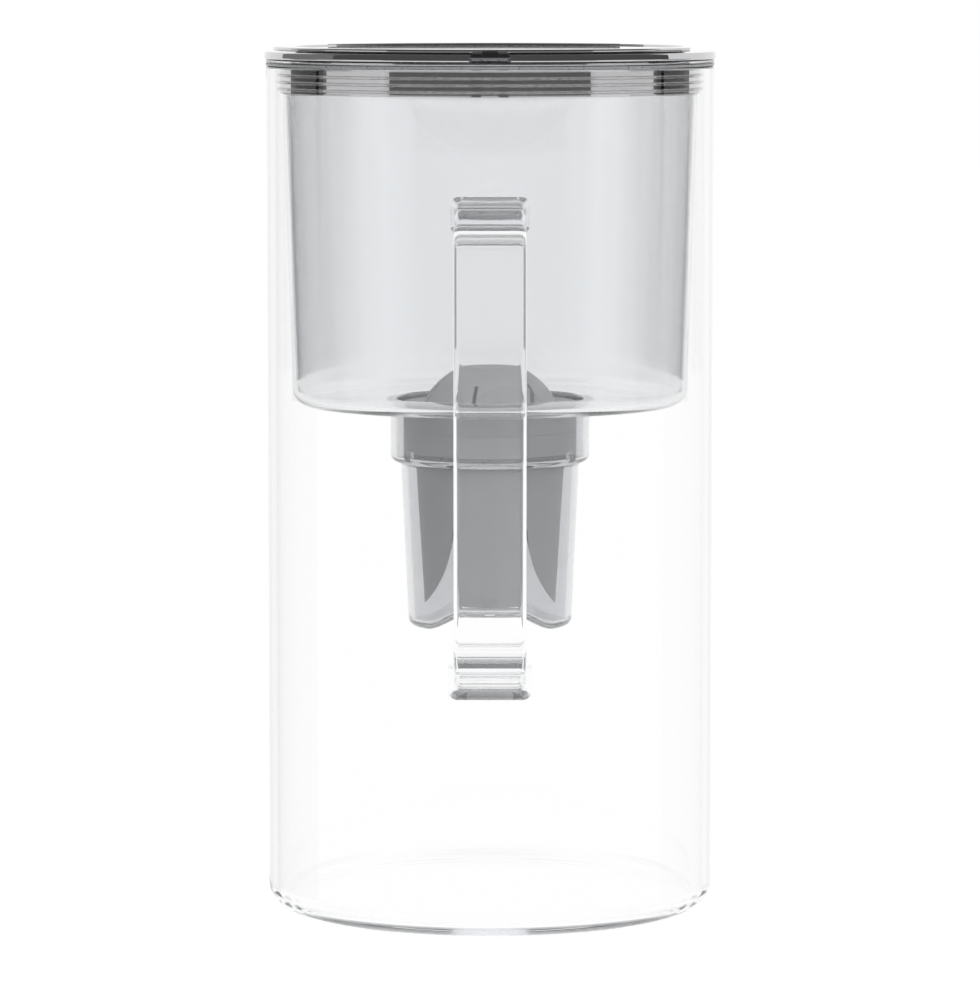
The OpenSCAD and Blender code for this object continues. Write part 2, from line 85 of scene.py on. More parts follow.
# Hopper with its filter well
UNDER_Z = 158.0
FLOOR_Z = 160.4
NECK_Z = 255.5
NECK_R = 64.15
NECK_IN = 62.45
WALL_TOP_R = 64.85
WALL = 2.4
DRAFT = math.tan(math.radians(1.8))
FLANGE_Z = 264.8
HOPPER_TOP = 266.1
POUR_HALF = 16
COLLAR_R = 31.25
COLLAR_IN = 29.45
COLLAR_Z = 140.0
LEDGE_Z = 141.8
FOOT_Z = 88.4
ARCH_RISE = 5.0
ARCH_OUT = 20.0
ARCH_FLAT = 7.0
ARCH_FADE = 12.0
ARCH_START = 2.5
SLEEVE_TOP_R = 28.0
SLEEVE_LOW_R = 25.6
SLEEVE_TOP_IN = 26.2
SLEEVE_LOW_IN = 23.8
SLEEVE_FLOOR = 1.8
DRAIN_PITCH = 7.2
DRAIN_W = 2.4
DRAIN_LEN = 20.0
DRAIN_LOW = 1.0
DRAIN_HIGH = 12.0
LUG_TURNS = (32, 148, 212, 328)
LUG_W = 3.0
LUG_H = 2.4
LUG_IN = 28.1
LUG_BITE = 0.4
# Neck band and wipers
WIPERS = ("wiper_low", "wiper_mid", "wiper_top")
BAND_R = 65.8
WIPER_R = 66.7
WIPER_Z = 256.95
WIPER_PITCH = 2.1
WIPER_H = 0.6
WIPER_SEAT = 0.8
BAND_NOTCH_X = 4.05
BAND_NOTCH_W = 2.9
# Cartridge
RING_R = 27.2
RING_Z = 143.0
RING_TOP = 150.0
BODY_R = 23.5
BODY_LOW_R = 20.5
CART_Z = 94.5
TONGUE_HALF = 10.2
TONGUE_Z = 96.5
NOTCH_H = 25.5
NOTCH_TIP = 0.6
NOTCH_FLARE = 38.0
OUTLET_R = 6.0
CART_WALL = 1.5
CAP_Z = 157.5
RIM_TOP = 159.0
RIM_R = 28.4
DOME_R = 23.5
DOME_Z = 148.06
DOME_TOP = 170.0
FLAT_IN = 16.4
FLAT_TURN = 20
FLAT_REACH = 14.0
FLAT_LEN = 60.0
FLAT_TOP = 5.0
SLOT_TURN = 46
SLOTS = 6
SLOT_W = 1.2
SLOT_H = 6.0
SLOT_IN = 12.0
DOME_STEPS = 16
# Lid and cover
LID_R = 70.65
LID_SLOPE = 0.35
LID_TOP = 268.4
SKIRT_R = 61.95
OPEN_R = 60.95
SKIRT_Z = 255.1
COVER_R = 67.75
COVER_Z = 268.7
COVER_TOP = 269.9
BORDER_W = 7.0
FIELD_DEPTH = 0.4
LINER_R = 60.35
LINER_Z = 264.7
LINER_T = 1.4
LINER_WALL = 2.7
GROOVE_IN = 1.3
GROOVE_LOW = 1.1
GROOVE_HIGH = 2.9
GASKET_R = 60.65
HINGE_NOTCH_HALF = 6.3
HINGE_NOTCH_Y = -66.95
COVER_NOTCH_HALF = 2.45
COVER_NOTCH_Y = -67.15
FINGER_X = 61.45
# Beyond every edge of lid, hopper and band
OUTSIDE = 75.0


# Shaping with the edit mode operators
def start_point(name):
    """A new piece that is one point at the origin, left in edit mode."""
    bpy.ops.object.select_all(action="DESELECT")
    bpy.ops.mesh.primitive_plane_add(size=MM)
    piece = bpy.context.object
    piece.name = name
    bpy.ops.object.mode_set(mode="EDIT")
    bpy.ops.mesh.select_all(action="SELECT")
    bpy.ops.mesh.merge(type="CENTER")
    return piece


def push_end(move):
    """Extrudes what is selected by a move in metres."""
    bpy.ops.mesh.extrude_region_move(TRANSFORM_OT_translate={"value": move})


def pull_along(path):
    """Moves the selected point to the path's start and extrudes it along the path."""
    bpy.ops.transform.translate(value=path[0])
    for here, there in zip(path, path[1:]):
        push_end(there - here)


def towards(degrees):
    """The level direction at an angle from the X axis."""
    return Vector((math.cos(math.radians(degrees)), math.sin(math.radians(degrees)), 0))


def close_outline(path):
    """Draws a closed outline from the selected point, and leaves all of it selected."""
    pull_along(path + path[:1])
    bpy.ops.mesh.select_all(action="SELECT")
    bpy.ops.mesh.remove_doubles(threshold=MERGE)


def rounded(corners):
    """Points of a closed outline whose corners are (across, up, rounding)."""
    points = []
    for i, (across, up, rounding) in enumerate(corners):
        corner = Vector((across, up))
        if not rounding:
            points.append(corner)
            continue
        back = (Vector(corners[i - 1][:2]) - corner).normalized()
        ahead = (Vector(corners[(i + 1) % len(corners)][:2]) - corner).normalized()
        half = back.angle(ahead) / 2
        reach = rounding / math.tan(half)
        middle = corner + (back + ahead).normalized() * (rounding / math.sin(half))
        first = corner + back * reach - middle
        last = corner + ahead * reach - middle
        a0 = math.atan2(first.y, first.x)
        sweep = (math.atan2(last.y, last.x) - a0 + math.pi) % math.tau - math.pi
        for n in range(ROUND + 1):
            a = a0 + sweep * n / ROUND
            points.append(middle + rounding * Vector((math.cos(a), math.sin(a))))
    return points


def in_runs(points, run):
    """The outline's points with every straight run cut to at most the given length."""
    cut = []
    for i, here in enumerate(points):
        there = points[(i + 1) % len(points)]
        count = max(1, math.ceil((there - here).length / run))
        cut += [here.lerp(there, n / count) for n in range(count)]
    return cut


def close_up():
    """Merges doubles and turns all faces outwards."""
    bpy.ops.mesh.select_all(action="SELECT")
    bpy.ops.mesh.remove_doubles(threshold=MERGE)
    bpy.ops.mesh.normals_make_consistent(inside=False)


def activate(piece):
    bpy.ops.object.select_all(action="DESELECT")
    piece.select_set(True)
    bpy.context.view_layer.objects.active = piece


def smooth(piece):
    activate(piece)
    bpy.ops.object.shade_smooth_by_angle(angle=SOFT_ANGLE)
    return piece


def spin(steps, degrees, centre=Vector(), axis=Vector((0, 0, 1))):
    """Sweeps what is selected counterclockwise about an axis; the operator turns clockwise."""
    bpy.ops.mesh.spin(steps=steps, angle=-math.radians(degrees), center=centre * MM, axis=axis)


def turned(name, corners, run=RUN, start=FRONT, sweep=FULL):
    """A turned piece: a closed section of (radius, height, rounding) corners, spun about Z."""
    piece = start_point(name)
    outline = in_runs(rounded(corners), run)
    side = towards(start)
    close_outline([MM * (p.x * side + Vector((0, 0, p.y))) for p in outline])
    if sweep < FULL:
        bpy.ops.mesh.edge_face_add()
    spin(round(TURNS * sweep / FULL), sweep)
    close_up()
    bpy.ops.object.mode_set(mode="OBJECT")
    return smooth(piece)


def block(low, high, turn=0):
    """A plain block to carve with, between two corners, turned about the Z axis."""
    low, high = Vector(low) * MM, Vector(high) * MM
    bpy.ops.object.select_all(action="DESELECT")
    bpy.ops.mesh.primitive_cube_add(size=1)
    tool = bpy.context.object
    bpy.ops.object.mode_set(mode="EDIT")
    bpy.ops.mesh.select_all(action="SELECT")
    bpy.ops.transform.resize(value=high - low)
    bpy.ops.transform.translate(value=(low + high) / 2)
    bpy.ops.transform.rotate(value=-math.radians(turn), orient_axis="Z", center_override=(0, 0, 0))
    bpy.ops.object.mode_set(mode="OBJECT")
    return tool


def carve(piece, tool, operation="DIFFERENCE"):
    """Takes the tool's shape from the piece, or adds it, and removes the tool."""
    activate(piece)
    change = piece.modifiers.new("carve", "BOOLEAN")
    change.operation = operation
    change.solver = "EXACT"
    change.object = tool
    bpy.ops.object.modifier_apply(modifier=change.name)
    bpy.data.objects.remove(tool)
    return piece


def select_points(piece, wanted):
    """Selects the piece's points that the test wants, and leaves it in edit mode."""
    activate(piece)
    bpy.ops.object.mode_set(mode="EDIT")
    bpy.ops.mesh.select_mode(type="VERT")
    bpy.ops.mesh.select_all(action="DESELECT")
    bpy.ops.object.mode_set(mode="OBJECT")
    for v in piece.data.vertices:
        v.select = wanted(v.co / MM)
    bpy.ops.object.mode_set(mode="EDIT")


def ease(t):
    t = min(1, max(0, t))
    return t * t * (3 - 2 * t)


# Jar with its handle, one fused piece of glass
def make_jar():
    jar = turned("pitcher_glass", [
        (0, 0, 0), (JAR_R, 0, BASE_ROUND), (JAR_R, JAR_H, RIM_ROUND), (JAR_IN, JAR_H, RIM_ROUND),
        (JAR_IN, BASE_T, BASE_IN_ROUND), (0, BASE_T, 0)])
    tip = math.cos(math.radians(LIP_HALF))
    select_points(jar, lambda p: p.z > JAR_H - LIP_TOP and p.y > tip * p.xy.length)
    bpy.ops.transform.translate(
        value=(0, LIP_REACH * MM, 0), use_proportional_edit=True,
        proportional_edit_falloff="SMOOTH", proportional_size=LIP_SPREAD * MM)
    bpy.ops.object.mode_set(mode="OBJECT")
    carve(jar, make_handle(), "UNION")
    return smooth(jar)


def strap_end(push, widen, tall, middle):
    """Extrudes the strap's end face and scales it about its middle."""
    push_end(push)
    bpy.ops.transform.resize(value=(widen, 1, tall), center_override=middle)


def make_handle():
    handle = start_point("strap")
    wide, tall = STRAP_W / 2 + UPPER_SPREAD, STRAP_T / 2 + UPPER_SPREAD
    edge = STRAP_EDGE + UPPER_SPREAD
    outline = rounded([
        (-wide, -tall, edge), (wide, -tall, edge), (wide, tall, edge), (-wide, tall, edge)])
    close_outline([MM * Vector((p.x, WALL_Y, ARM_Z + p.y)) for p in outline])
    bpy.ops.mesh.edge_face_add()
    spot = Vector((0, WALL_Y, ARM_Z))
    into_air = Vector((0, -JAR_R - WALL_Y, 0))
    strap_end(into_air * MM, 1, 1, spot * MM)
    spot += into_air
    spread = UPPER_SPREAD
    for n in range(ROOT_STEPS):
        left = UPPER_SPREAD * (1 - (n + 1) / ROOT_STEPS) ** 2
        push = Vector((0, -ROOT_LEN / ROOT_STEPS, 0))
        spot += push
        strap_end(push * MM, (STRAP_W + 2 * left) / (STRAP_W + 2 * spread),
                  (STRAP_T + 2 * left) / (STRAP_T + 2 * spread), spot * MM)
        spread = left
    push_end(Vector((0, BEND_Y - spot.y, 0)) * MM)
    spin(BEND_STEPS, 90, Vector((0, BEND_Y, ARM_Z - BEND_R)), ACROSS)
    push_end((0, 0, -GRIP_LEN * MM))
    low = ARM_Z - BEND_R - GRIP_LEN
    spin(BEND_STEPS, 90 - ARM_FALL, Vector((0, BEND_Y, low)), ACROSS)
    fall = math.radians(ARM_FALL)
    along = Vector((0, math.cos(fall), -math.sin(fall)))
    spot = Vector((0, BEND_Y - BEND_R * math.sin(fall), low - BEND_R * math.cos(fall)))
    plain = (-JAR_R - spot.y) / along.y - ROOT_LEN
    push_end(along * plain * MM)
    spot += along * plain
    spread = 0
    for n in range(ROOT_STEPS):
        more = LOWER_SPREAD * ((n + 1) / ROOT_STEPS) ** 2
        push = along * (ROOT_LEN / ROOT_STEPS)
        spot += push
        strap_end(push * MM, (STRAP_W + 2 * more) / (STRAP_W + 2 * spread),
                  (STRAP_T + 2 * more) / (STRAP_T + 2 * spread), spot * MM)
        spread = more
    push_end(along * MM)
    bpy.ops.transform.resize(value=(1, 0, 1), center_override=(0, WALL_Y * MM, 0))
    close_up()
    bpy.ops.object.mode_set(mode="OBJECT")
    return handle


# Hopper and its filter well, one clear moulding
def make_hopper():
    under_r = WALL_TOP_R - DRAFT * (NECK_Z - UNDER_Z)
    floor_r = WALL_TOP_R - DRAFT * (NECK_Z - FLOOR_Z) - WALL
    hopper = turned("hopper_and_well", [
        (0, FOOT_Z, 0), (SLEEVE_LOW_R, FOOT_Z, 2.2), (SLEEVE_TOP_R, COLLAR_Z, 0.8),
        (COLLAR_R, COLLAR_Z, 2.5), (COLLAR_R, UNDER_Z, 1.2), (under_r, UNDER_Z, 5.5),
        (WALL_TOP_R, NECK_Z, 0.3), (NECK_R, NECK_Z, 0.2), (NECK_R, FLANGE_Z, 0.2),
        (JAR_R, FLANGE_Z, 0.3), (JAR_R, HOPPER_TOP, 0.4), (NECK_IN, HOPPER_TOP, 0.4),
        (NECK_IN, NECK_Z, 0.4), (floor_r, FLOOR_Z, 3.1), (COLLAR_IN, FLOOR_Z, 0.8),
        (COLLAR_IN, LEDGE_Z, 0.6), (SLEEVE_TOP_IN, LEDGE_Z, 0.4),
        (SLEEVE_LOW_IN, FOOT_Z + SLEEVE_FLOOR, 1.2), (0, FOOT_Z + SLEEVE_FLOOR, 0)], run=3.0)
    arch = hopper.vertex_groups.new(name="arch")
    for v in hopper.data.vertices:
        x, z = abs(v.co.x) / MM, v.co.z / MM
        lift = ease((ARCH_OUT - x) / (ARCH_OUT - ARCH_FLAT))
        lift *= 1 - ease((z - FOOT_Z - ARCH_START) / ARCH_FADE)
        if lift > 0:
            arch.add([v.index], lift, "REPLACE")
    activate(hopper)
    rise = hopper.modifiers.new("arch", "DISPLACE")
    rise.direction = "Z"
    rise.mid_level = 0
    rise.strength = ARCH_RISE * MM
    rise.vertex_group = "arch"
    bpy.ops.object.modifier_apply(modifier=rise.name)
    low, high = FLANGE_Z - OVER, HOPPER_TOP + OVER
    gap = turned("pour gap", [
        (NECK_R, low, 0), (OUTSIDE, low, 0), (OUTSIDE, high, 0), (NECK_R, high, 0)],
        start=90 - POUR_HALF, sweep=2 * POUR_HALF)
    carve(hopper, gap)
    for x in (-DRAIN_PITCH, 0, DRAIN_PITCH):
        low = (x - DRAIN_W / 2, -DRAIN_LEN / 2, FOOT_Z + DRAIN_LOW)
        high = (x + DRAIN_W / 2, DRAIN_LEN / 2, FOOT_Z + DRAIN_HIGH)
        carve(hopper, block(low, high))
    for turn in LUG_TURNS:
        low = (LUG_IN, -LUG_W / 2, LEDGE_Z - LUG_BITE)
        high = (COLLAR_IN + LUG_BITE, LUG_W / 2, LEDGE_Z + LUG_H)
        carve(hopper, block(low, high, turn), "UNION")
    return smooth(hopper)


def open_ring(name, corners):
    """A turned ring that leaves the pouring gap open at the back."""
    return turned(name, corners, start=90 + POUR_HALF, sweep=FULL - 2 * POUR_HALF)


def make_band():
    inner, seat = NECK_R + SEAT, BAND_R - WIPER_SEAT
    corners = [(inner, NECK_Z + SEAT, 0), (BAND_R, NECK_Z + SEAT, 0.2)]
    for n in range(len(WIPERS)):
        z = WIPER_Z + n * WIPER_PITCH
        half = WIPER_H / 2 + SEAT
        corners += [(BAND_R, z - half, 0.14), (seat, z - half, 0)]
        corners += [(seat, z + half, 0), (BAND_R, z + half, 0.14)]
    corners += [(BAND_R, JAR_H - SEAT, 0.2), (inner, JAR_H - SEAT, 0)]
    band = open_ring("steel_neck_band", corners)
    for x in (-BAND_NOTCH_X, BAND_NOTCH_X):
        low = (x - BAND_NOTCH_W / 2, -JAR_R, NECK_Z - OVER)
        high = (x + BAND_NOTCH_W / 2, -BAND_R + WIPER_SEAT, JAR_H + OVER)
        carve(band, block(low, high))
    return smooth(band)


def make_wiper(n):
    z, half, inner = WIPER_Z + n * WIPER_PITCH, WIPER_H / 2, BAND_R - WIPER_SEAT + SEAT
    return open_ring(f"wiper_ring_{n + 1}", [
        (inner, z - half, 0), (WIPER_R, z - half, 0.08),
        (WIPER_R, z + half, 0.08), (inner, z + half, 0)])


def make_rim_seal():
    inner = NECK_R + SEAT
    return open_ring("rim_seal", [
        (inner, JAR_H, 0), (JAR_R, JAR_H, 0.2), (JAR_R, FLANGE_Z, 0.2), (inner, FLANGE_Z, 0)])


# Filter cartridge
def notch_tool(side, grow):
    """The notch on one side of the outlet tongue, larger by grow, as a tool that runs along Y."""
    top, tip, flare = CART_Z + NOTCH_H, NOTCH_TIP + grow, NOTCH_FLARE - grow
    tip_x = TONGUE_HALF + NOTCH_TIP
    flare_x = TONGUE_HALF + 2 * NOTCH_TIP + NOTCH_FLARE
    turn = math.asin((NOTCH_H + OVER) / flare)
    steps = 2 * ROUND
    outline = [Vector((TONGUE_HALF - grow, CART_Z - OVER))]
    for n in range(steps + 1):
        a = math.pi * (1 - n / steps)
        outline.append(Vector((tip_x + tip * math.cos(a), top + tip * math.sin(a))))
    for n in range(1, steps + 1):
        a = turn * n / steps
        outline.append(Vector((flare_x - flare * math.cos(a), top - flare * math.sin(a))))
    tool = start_point("notch")
    reach = RING_R + OVER
    close_outline([MM * Vector((side * p.x, -reach, p.y)) for p in outline])
    bpy.ops.mesh.edge_face_add()
    push_end((0, 2 * reach * MM, 0))
    close_up()
    bpy.ops.object.mode_set(mode="OBJECT")
    return tool


def open_end(piece, grow):
    """Cuts the two notches and the tongue's end at the cartridge's lower end, larger by grow."""
    for side in (-1, 1):
        carve(piece, notch_tool(side, grow))
    half = TONGUE_HALF + NOTCH_TIP
    carve(piece, block((-half, -RING_R, CART_Z - OVER), (half, RING_R, TONGUE_Z + grow)))


def make_shell():
    shell = turned("filter_shell", [
        (0, CART_Z, 0), (BODY_LOW_R, CART_Z, 0.4), (BODY_R, RING_Z, 0.4), (RING_R, RING_Z, 0.5),
        (RING_R, RING_TOP, 0.25), (0, RING_TOP, 0)])
    low, wide = CART_Z + CART_WALL, BODY_R - CART_WALL
    room = turned("room", [
        (0, low, 0), (BODY_LOW_R - CART_WALL, low, 0), (wide, RING_Z, 0),
        (wide, RING_TOP + OVER, 0), (0, RING_TOP + OVER, 0)])
    open_end(room, CART_WALL)
    open_end(shell, 0)
    carve(shell, room)
    low, high = TONGUE_Z - OVER, TONGUE_Z + CART_WALL + OVER
    outlet = turned("outlet", [(0, low, 0), (OUTLET_R, low, 0), (OUTLET_R, high, 0), (0, high, 0)])
    carve(shell, outlet)
    return smooth(shell)


def dome_arc(radius, low, high):
    """Points of the dome's section between two heights, from the lower to the upper."""
    a0, a1 = math.asin((low - DOME_Z) / radius), math.asin((high - DOME_Z) / radius)
    angles = [a0 + (a1 - a0) * n / DOME_STEPS for n in range(DOME_STEPS + 1)]
    return [(radius * math.cos(a), DOME_Z + radius * math.sin(a), 0) for a in angles]


def between_flats(piece, inset):
    """Cuts the dome's two finger flats."""
    for side in (-1, 1):
        near, far = sorted((side * (FLAT_IN - inset), side * (FLAT_IN + FLAT_REACH)))
        low = (-FLAT_LEN / 2, near, RIM_TOP - inset)
        high = (FLAT_LEN / 2, far, DOME_TOP + FLAT_TOP)
        carve(piece, block(low, high, FLAT_TURN))


def make_cap():
    skirt = RING_R - CART_WALL
    cap = turned("filter_cap", [
        (0, CAP_Z, 0), (skirt, CAP_Z, 0), (skirt, RING_TOP, 0), (RING_R, RING_TOP, 0.2),
        (RING_R, CAP_Z, 0.3), (RIM_R, CAP_Z, 0.4), (RIM_R, RIM_TOP, 0.6)]
        + dome_arc(DOME_R, RIM_TOP, DOME_TOP) + [(0, DOME_TOP, 0)], run=2.0)
    between_flats(cap, 0)
    hollow = turned("hollow", [(0, CAP_Z - OVER, 0)]
                    + dome_arc(DOME_R - CART_WALL, CAP_Z - OVER, DOME_TOP - CART_WALL)
                    + [(0, DOME_TOP - CART_WALL, 0)], run=2.0)
    between_flats(hollow, CART_WALL)
    carve(cap, hollow)
    for n in range(SLOTS):
        turn = SLOT_TURN - 90 + n * FULL / SLOTS
        low, high = (SLOT_IN, -SLOT_W / 2, RIM_TOP), (DOME_R + OVER, SLOT_W / 2, RIM_TOP + SLOT_H)
        carve(cap, block(low, high, turn))
    return smooth(cap)


def make_filter_seal():
    inner = BODY_R + SEAT
    return turned("filter_seal", [
        (inner, LEDGE_Z, 0.2), (RING_R, LEDGE_Z, 0.4), (RING_R, RING_Z, 0.4), (inner, RING_Z, 0.2)])


# Lid and its cover
def make_lid():
    lid = turned("lid_flange", [
        (OPEN_R, SKIRT_Z, 0.3), (SKIRT_R, SKIRT_Z, 0.3), (SKIRT_R, HOPPER_TOP, 0.3),
        (LID_R, HOPPER_TOP, 0.5), (LID_R - LID_SLOPE, LID_TOP, 0.5), (OPEN_R, LID_TOP, 0.6)])
    low = (-HINGE_NOTCH_HALF, -OUTSIDE, HOPPER_TOP - OVER)
    high = (HINGE_NOTCH_HALF, HINGE_NOTCH_Y, LID_TOP + OVER)
    carve(lid, block(low, high))
    return smooth(lid)


def make_cover():
    border, field = COVER_R - BORDER_W, COVER_TOP - FIELD_DEPTH
    cover = turned("cover_disc", [
        (0, COVER_Z, 0), (COVER_R, COVER_Z, 0.5), (COVER_R, COVER_TOP, 0.5),
        (border, COVER_TOP, 0.25), (border - FIELD_DEPTH, field, 0.25), (0, field, 0)])
    low, high = COVER_Z - OVER, COVER_TOP + OVER
    carve(cover, block((-COVER_NOTCH_HALF, -OUTSIDE, low), (COVER_NOTCH_HALF, COVER_NOTCH_Y, high)))
    carve(cover, block((FINGER_X, -JAR_R, low), (JAR_R, JAR_R, high)))
    return smooth(cover)


def make_liner():
    groove, low, high = LINER_R - GROOVE_IN, LINER_Z + GROOVE_LOW, LINER_Z + GROOVE_HIGH
    inner, under = LINER_R - LINER_WALL, COVER_Z - LINER_T
    return turned("cover_inner", [
        (inner, LINER_Z, 0.3), (LINER_R, LINER_Z, 0.4), (LINER_R, low, 0), (groove, low, 0),
        (groove, high, 0), (LINER_R, high, 0), (LINER_R, COVER_Z, 0), (0, COVER_Z, 0),
        (0, under, 0), (inner, under, 0.5)])


def make_cover_seal():
    inner = LINER_R - GROOVE_IN + SEAT
    low, high = LINER_Z + GROOVE_LOW + SEAT, LINER_Z + GROOVE_HIGH - SEAT
    return turned("cover_seal", [
        (inner, low, 0), (GASKET_R, low, 0.8), (GASKET_R, high, 0.8), (inner, high, 0)])


# Finishes
def finish(name, **values):
    """A new material with a Principled shader whose even values are set on its own sockets."""
    made = bpy.data.materials.new(name)
    made.use_nodes = True
    shader = made.node_tree.nodes["Principled BSDF"]
    for socket, value in values.items():
        shader.inputs[socket.replace("_", " ")].default_value = value
    return made


def add(made, kind, **values):
    node = made.node_tree.nodes.new(kind)
    for socket, value in values.items():
        node.inputs[socket.replace("_", " ")].default_value = value
    return node


def place(made):
    return made.node_tree.nodes.new("ShaderNodeTexCoord").outputs["Object"]


def wire(made, source, target):
    made.node_tree.links.new(source, target)


def noise(made, scale, detail=4.0):
    cloud = add(made, "ShaderNodeTexNoise", Scale=scale, Detail=detail)
    wire(made, place(made), cloud.inputs["Vector"])
    return cloud.outputs["Fac"]


# Where most of a pattern's values lie
PATTERN_LOW = 0.3
PATTERN_HIGH = 0.7


def spread(made, source, low, high):
    """Maps most of a pattern's values onto a range."""
    band = add(made, "ShaderNodeMapRange", From_Min=PATTERN_LOW, From_Max=PATTERN_HIGH,
               To_Min=low, To_Max=high)
    wire(made, source, band.inputs["Value"])
    return band.outputs["Result"]


def tints(made, source, low, high):
    """Blends two colours by a pattern."""
    ramp = made.node_tree.nodes.new("ShaderNodeValToRGB")
    first, last = ramp.color_ramp.elements
    first.position = PATTERN_LOW
    first.color = (*low, 1)
    last.position = PATTERN_HIGH
    last.color = (*high, 1)
    wire(made, source, ramp.inputs["Fac"])
    return ramp.outputs["Color"]


def shader_of(made):
    return made.node_tree.nodes["Principled BSDF"]


def coloured(made, source, low, high):
    """Gives a finish two colours, blended by a pattern."""
    wire(made, tints(made, source, low, high), shader_of(made).inputs["Base Color"])


def roughened(made, source, low, high):
    """Gives a finish a roughness that varies by a pattern."""
    wire(made, spread(made, source, low, high), shader_of(made).inputs["Roughness"])


def bumped(made, source, strength, depth):
    bump = add(made, "ShaderNodeBump", Strength=strength, Distance=depth * MM)
    wire(made, source, bump.inputs["Height"])
    wire(made, bump.outputs["Normal"], shader_of(made).inputs["Normal"])


def absorbing(made, colour, density):
    fog = add(made, "ShaderNodeVolumeAbsorption", Color=(*colour, 1), Density=density)
    wire(made, fog.outputs["Volume"], made.node_tree.nodes["Material Output"].inputs["Volume"])


def clear_glass():
    made = finish("clear_glass", Base_Color=(1, 1, 1, 1), IOR=1.5, Transmission_Weight=1)
    bumped(made, noise(made, 45, 2), 0.03, 0.3)
    roughened(made, noise(made, 120), 0.0, 0.012)
    absorbing(made, (0.55, 0.62, 0.7), 1.2)
    return made


# Height over which the tint changes under the hopper's floor
TINT_BLEND = 0.5


def clear_plastic():
    """Clear moulding, a little darker in the filter well than in the hopper above it."""
    made = finish("clear_grey_plastic", IOR=1.49, Transmission_Weight=1)
    height = made.node_tree.nodes.new("ShaderNodeSeparateXYZ")
    wire(made, place(made), height.inputs["Vector"])
    step = add(made, "ShaderNodeMapRange", From_Min=(UNDER_Z - TINT_BLEND) * MM,
               From_Max=UNDER_Z * MM)
    wire(made, height.outputs["Z"], step.inputs["Value"])
    coloured(made, step.outputs["Result"], (0.715, 0.725, 0.74), (0.912, 0.922, 0.932))
    bumped(made, noise(made, 60, 2), 0.03, 0.25)
    roughened(made, noise(made, 150), 0.01, 0.03)
    absorbing(made, (0.5, 0.505, 0.515), 12)
    return made


def glossy_silicone():
    """Silicone with a metallic lustre, for the wipers in the band's grooves."""
    made = finish("wiper_silicone", IOR=1.42, Metallic=0.95)
    grain = noise(made, 700)
    coloured(made, grain, (0.5, 0.505, 0.51), (0.57, 0.575, 0.58))
    roughened(made, grain, 0.08, 0.14)
    return made


def soft_silicone():
    made = finish("clear_silicone", IOR=1.42, Transmission_Weight=0.6)
    grain = noise(made, 900)
    coloured(made, grain, (0.62, 0.63, 0.64), (0.74, 0.75, 0.76))
    roughened(made, grain, 0.25, 0.4)
    bumped(made, grain, 0.1, 0.05)
    return made


def grey_plastic():
    made = finish("grey_moulding", IOR=1.48)
    grain = noise(made, 1600, 3)
    coloured(made, noise(made, 30), (0.56, 0.565, 0.575), (0.61, 0.615, 0.625))
    roughened(made, grain, 0.4, 0.55)
    bumped(made, grain, 0.12, 0.04)
    return made


def polished_steel(name, dark, light):
    made = finish(name, Metallic=1)
    grain = noise(made, 400, 6)
    coloured(made, noise(made, 40), dark, light)
    roughened(made, grain, 0.015, 0.03)
    return made


def white_plastic():
    made = finish("white_moulding", IOR=1.48)
    grain = noise(made, 1200, 3)
    coloured(made, noise(made, 25), (0.76, 0.76, 0.75), (0.82, 0.82, 0.81))
    roughened(made, grain, 0.35, 0.5)
    bumped(made, grain, 0.1, 0.04)
    return made


def grains(name, scale, dark, light, rough, depth):
    """Packed granules: each cell of a Voronoi pattern has its own tone and stands proud."""
    made = finish(name, Roughness=rough)
    cells = add(made, "ShaderNodeTexVoronoi", Scale=scale)
    wire(made, place(made), cells.inputs["Vector"])
    coloured(made, cells.outputs["Color"], dark, light)
    bumped(made, cells.outputs["Distance"], -0.7, depth)
    return made


def felt():
    made = finish("white_felt", Roughness=0.9)
    strands = noise(made, 1400, 8)
    coloured(made, strands, (0.58, 0.58, 0.55), (0.78, 0.78, 0.75))
    bumped(made, strands, 0.5, 0.2)
    return made


# Pieces: maker, finish, body, slot of the record, nodes that it stands for
glass = clear_glass()
plastic = clear_plastic()
silicone = soft_silicone()
wiper_silicone = glossy_silicone()
grey = grey_plastic()
steel = polished_steel("polished_steel", (0.56, 0.56, 0.57), (0.62, 0.62, 0.63))
hinge_steel = polished_steel("hinge_steel", (0.15, 0.15, 0.16), (0.2, 0.2, 0.21))
white = white_plastic()


def fit(piece, coat, body, slot, *stands_for):
    activate(piece)
    even = piece.modifiers.new("even", "WEIGHTED_NORMAL")
    even.keep_sharp = True
    bpy.ops.object.modifier_apply(modifier=even.name)
    piece.data.materials.clear()
    piece.data.materials.append(coat)
    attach(piece, body)
    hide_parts(*stands_for)
    return piece


jar = fit(make_jar(), glass, "jar", "glass", "glass_jar", "glass_handle")
hopper = fit(make_hopper(), plastic, "hopper", "clear_plastic", "hopper_bowl", "well_sleeve")
fit(make_band(), steel, "hopper", "polished_steel", "neck_band")
for n, node in enumerate(WIPERS):
    fit(make_wiper(n), wiper_silicone, "hopper", "silicone", node)
fit(make_rim_seal(), silicone, "hopper", "silicone", "rim_gasket")
fit(make_shell(), grey, "cartridge", "grey_plastic", "cartridge_shell")
fit(make_cap(), grey, "cartridge", "grey_plastic", "cartridge_dome")
fit(make_filter_seal(), silicone, "cartridge", "silicone", "cartridge_seal")
fit(make_lid(), steel, "lid", "polished_steel", "lid_ring")
fit(make_cover(), steel, "fill_cover", "polished_steel", "cover_plate")
fit(make_liner(), white, "fill_cover", "white_plastic", "cover_liner")
fit(make_cover_seal(), silicone, "fill_cover", "silicone", "cover_gasket")
# Light on things passes the clear pieces
for piece in (jar, hopper):
    piece.visible_shadow = False

